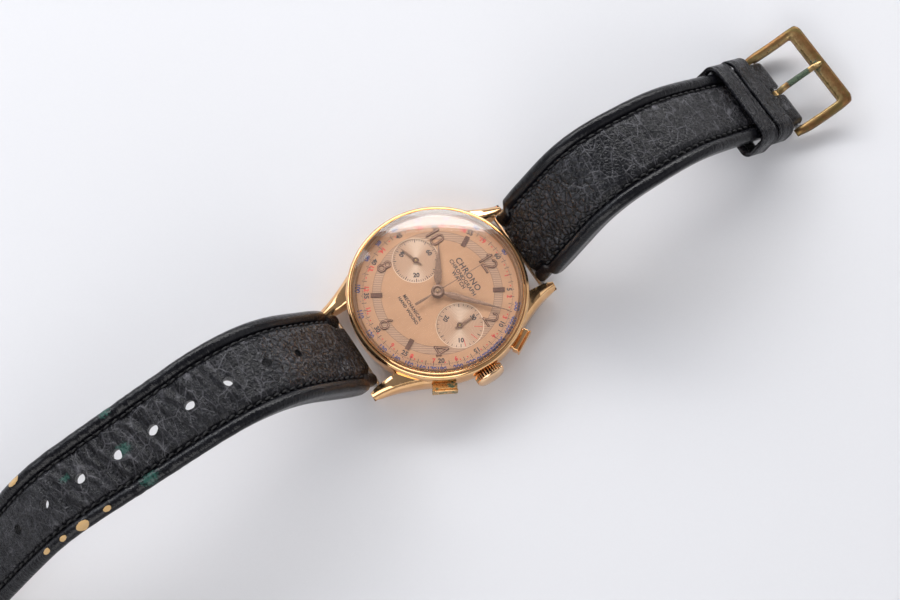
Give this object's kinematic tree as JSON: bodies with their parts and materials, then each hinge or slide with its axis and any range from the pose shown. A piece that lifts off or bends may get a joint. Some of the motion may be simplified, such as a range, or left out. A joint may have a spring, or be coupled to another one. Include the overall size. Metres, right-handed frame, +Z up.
{
  "type": "chronograph wristwatch",
  "caption": "Hand-wound chronograph wristwatch with two small dials, crown, push-buttons and a padded leather strap with keepers and a pin buckle.",
  "frame": {"origin": "centre of the case back's flat, under the hands' axis", "axes": "+X to the crown (three o'clock), +Y to twelve o'clock along the strap, +Z up out of the dial"},
  "size_m": [0.0395, 0.2192, 0.0309],
  "materials": {
    "rose_gold": "polished rose-gold plate, worn",
    "steel": "satin steel",
    "crystal": "clear acrylic",
    "dial_salmon": "fine brushed salmon",
    "hand_gilt": "aged rose gilt",
    "brass_gilt": "gilt movement brass",
    "blued_steel": "blued",
    "ruby": "polished ruby jewel",
    "black_leather": "creased black calf",
    "lining_leather": "brown lining",
    "thread": "black sewing thread",
    "felt_filler": "padding",
    "aged_brass": "aged brass with green patina",
    "gasket": "seal"
  },
  "bodies": {
    "case": {"case_middle": "rose_gold", "bezel": "rose_gold", "crystal": "crystal", "tension_ring": "rose_gold", "case_back": "steel", "crown_tube": "steel", "pusher_tubes": "steel", "spring_bar_12": "steel", "spring_bar_6": "steel", "dial": "dial_salmon", "applied_numerals": "hand_gilt", "applied_bars": "hand_gilt", "movement_ring": "brass_gilt", "mainplate": "steel", "barrel_bridge": "steel", "train_bridge": "steel", "balance_cock": "steel", "chronograph_bridge": "steel", "jewels": "ruby", "movement_screws": "blued_steel"},
    "crown_carriage": {"crown_seal": "gasket"},
    "crown": {"crown": "rose_gold", "winding_stem": "steel", "sliding_pinion": "steel"},
    "pusher_2": {"pusher_2": "rose_gold"},
    "pusher_4": {"pusher_4": "rose_gold"},
    "seconds": {"fourth_wheel": "brass_gilt", "small_seconds_hand": "hand_gilt"},
    "minute": {"centre_wheel": "brass_gilt", "cannon_pinion": "steel", "minute_hand": "hand_gilt"},
    "hour": {"hour_wheel": "brass_gilt", "hour_hand": "hand_gilt"},
    "minute_wheel": {"minute_wheel": "brass_gilt"},
    "third": {"third_wheel": "brass_gilt"},
    "escape": {"escape_wheel": "steel"},
    "pallet": {"pallet_fork": "steel"},
    "balance": {"balance_wheel": "brass_gilt", "hairspring": "blued_steel"},
    "barrel": {"barrel": "brass_gilt"},
    "winding": {"barrel_arbor": "steel", "ratchet_wheel": "steel"},
    "crown_wheel": {"crown_wheel": "steel"},
    "chrono_seconds": {"chrono_runner": "brass_gilt", "chrono_seconds_hand": "hand_gilt"},
    "minute_counter": {"minute_runner": "brass_gilt", "minute_counter_hand": "hand_gilt"},
    "strap_12": {"strap_12_leather": "black_leather", "strap_12_filler": "felt_filler", "strap_12_lining": "lining_leather", "strap_12_stitching": "thread", "fixed_keeper": "black_leather", "buckle_pin": "steel"},
    "floating_keeper": {"floating_keeper": "black_leather"},
    "buckle": {"buckle_frame": "aged_brass"},
    "tongue": {"buckle_tongue": "aged_brass"},
    "strap_6": {"strap_6_leather": "black_leather", "strap_6_filler": "felt_filler", "strap_6_lining": "lining_leather", "strap_6_stitching": "thread"}
  },
  "joints": [
    {"name": "strap_12_swing", "type": "hinge", "parent": "case", "child": "strap_12", "pos_m": [0, 0.0203, 0.003], "axis": [1, 0, 0], "range_deg": [-95, 25]},
    {"name": "strap_6_swing", "type": "hinge", "parent": "case", "child": "strap_6", "pos_m": [0, -0.0203, 0.003], "axis": [-1, 0, 0], "range_deg": [-95, 25]},
    {"name": "floating_keeper_slide", "type": "slide", "parent": "strap_12", "child": "floating_keeper", "axis": [0, 0.8161, -0.5779], "range_m": [-0.0064, 0]},
    {"name": "buckle_swing", "type": "hinge", "parent": "strap_12", "child": "buckle", "pos_m": [0, 0.08644, 0.00225], "axis": [1, 0, 0], "range_deg": [-55, 15]},
    {"name": "tongue_lift", "type": "hinge", "parent": "buckle", "child": "tongue", "pos_m": [0, 0.08644, 0.00225], "axis": [1, 0, 0], "range_deg": [0, 60]},
    {"name": "crown_pull", "type": "slide", "parent": "case", "child": "crown_carriage", "axis": [1, 0, 0], "range_m": [0, 0.0012]},
    {"name": "crown_turn", "type": "hinge", "parent": "crown_carriage", "child": "crown", "pos_m": [0.02, 0, 0.0046], "axis": [1, 0, 0], "continuous": true},
    {"name": "pusher_2_press", "type": "slide", "parent": "case", "child": "pusher_2", "axis": [-0.8788, -0.4772, 0], "range_m": [0, 0.001], "stiffness_N_per_m": 1500, "springref_m": -0.0005},
    {"name": "pusher_4_press", "type": "slide", "parent": "case", "child": "pusher_4", "axis": [-0.8788, 0.4772, 0], "range_m": [0, 0.001], "stiffness_N_per_m": 1500, "springref_m": -0.0005},
    {"name": "seconds_turn", "type": "hinge", "parent": "case", "child": "seconds", "pos_m": [-0.00833, 0, 0.005], "axis": [0, 0, 1], "continuous": true},
    {"name": "minute_turn", "type": "hinge", "parent": "case", "child": "minute", "pos_m": [0, 0, 0.005], "axis": [0, 0, 1], "continuous": true},
    {"name": "hour_turn", "type": "hinge", "parent": "case", "child": "hour", "pos_m": [0, 0, 0.007], "axis": [0, 0, 1], "continuous": true},
    {"name": "minute_wheel_turn", "type": "hinge", "parent": "case", "child": "minute_wheel", "pos_m": [0.0029, -0.0022, 0.006], "axis": [0, 0, 1], "continuous": true},
    {"name": "third_turn", "type": "hinge", "parent": "case", "child": "third", "pos_m": [-0.0046, -0.0046, 0.004], "axis": [0, 0, 1], "continuous": true},
    {"name": "escape_turn", "type": "hinge", "parent": "case", "child": "escape", "pos_m": [-0.0115, -0.0046, 0.004], "axis": [0, 0, 1], "continuous": true},
    {"name": "pallet_rock", "type": "hinge", "parent": "case", "child": "pallet", "pos_m": [-0.0099, -0.008, 0.0045], "axis": [0, 0, 1], "range_deg": [-5, 5]},
    {"name": "balance_swing", "type": "hinge", "parent": "case", "child": "balance", "pos_m": [-0.0052, -0.0102, 0.003], "axis": [0, 0, 1], "range_deg": [-150, 150], "stiffness_Nm_per_rad": 0.00000015},
    {"name": "barrel_turn", "type": "hinge", "parent": "case", "child": "barrel", "pos_m": [0.0032, 0.0066, 0.004], "axis": [0, 0, 1], "continuous": true},
    {"name": "ratchet_turn", "type": "hinge", "parent": "case", "child": "winding", "pos_m": [0.0032, 0.0066, 0.0024], "axis": [0, 0, 1], "continuous": true},
    {"name": "crown_wheel_turn", "type": "hinge", "parent": "case", "child": "crown_wheel", "pos_m": [0.0094, 0.0062, 0.0024], "axis": [0, 0, 1], "continuous": true},
    {"name": "chrono_seconds_turn", "type": "hinge", "parent": "case", "child": "chrono_seconds", "pos_m": [0, 0, 0.008], "axis": [0, 0, 1], "continuous": true},
    {"name": "minute_counter_turn", "type": "hinge", "parent": "case", "child": "minute_counter", "pos_m": [0.00833, 0, 0.005], "axis": [0, 0, 1], "continuous": true}
  ],
  "couplings": [
    {"joint": "minute_turn", "follows": "seconds_turn", "ratio": 0.016667},
    {"joint": "hour_turn", "follows": "seconds_turn", "ratio": 0.0013889},
    {"joint": "minute_wheel_turn", "follows": "seconds_turn", "ratio": -0.0055556},
    {"joint": "third_turn", "follows": "seconds_turn", "ratio": -0.13333},
    {"joint": "escape_turn", "follows": "seconds_turn", "ratio": -10},
    {"joint": "barrel_turn", "follows": "seconds_turn", "ratio": -0.0020833},
    {"joint": "crown_wheel_turn", "follows": "crown_turn", "ratio": 0.54546},
    {"joint": "ratchet_turn", "follows": "crown_turn", "ratio": -0.25},
    {"joint": "minute_counter_turn", "follows": "chrono_seconds_turn", "ratio": 0.033333}
  ]
}
